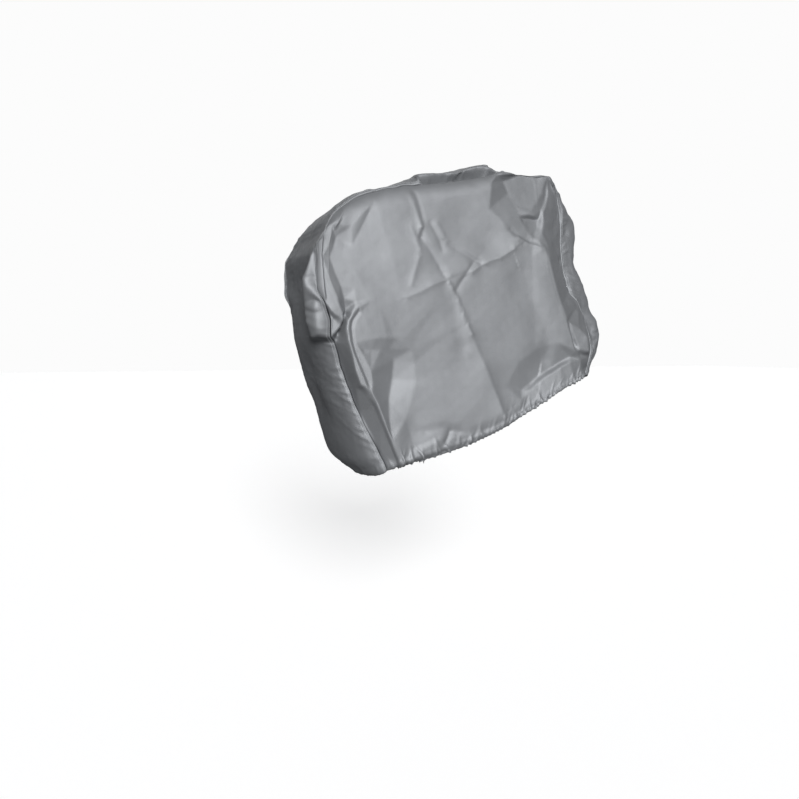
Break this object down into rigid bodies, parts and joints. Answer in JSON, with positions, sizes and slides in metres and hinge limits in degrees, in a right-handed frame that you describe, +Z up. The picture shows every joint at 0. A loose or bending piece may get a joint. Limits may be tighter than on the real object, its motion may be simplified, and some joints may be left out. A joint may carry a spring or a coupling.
{
  "type": "outboard motor cover",
  "caption": "Fitted cloth cover for an outboard motor's powerhead: side panels sewn to a centre strip, hollow, open below at a gathered elastic hem.",
  "frame": {"origin": "under the crown of the cover, against the inner face of the cloth, on the middle plane", "axes": "+Z up as worn on a tilted motor, +X forward to the boat, +Y to port"},
  "size_m": [0.8402, 0.4091, 0.7608],
  "materials": {
    "side_cloth": "grey coated woven polyester, plain weave, slight sheen",
    "strip_cloth": "the same grey coated woven polyester, cut as one long gusset",
    "thread": "polyester sewing thread, a little paler than the cloth"
  },
  "bodies": {
    "root": {"near_side_panel": "side_cloth", "far_side_panel": "side_cloth", "centre_strip": "strip_cloth"}
  },
  "joints": []
}
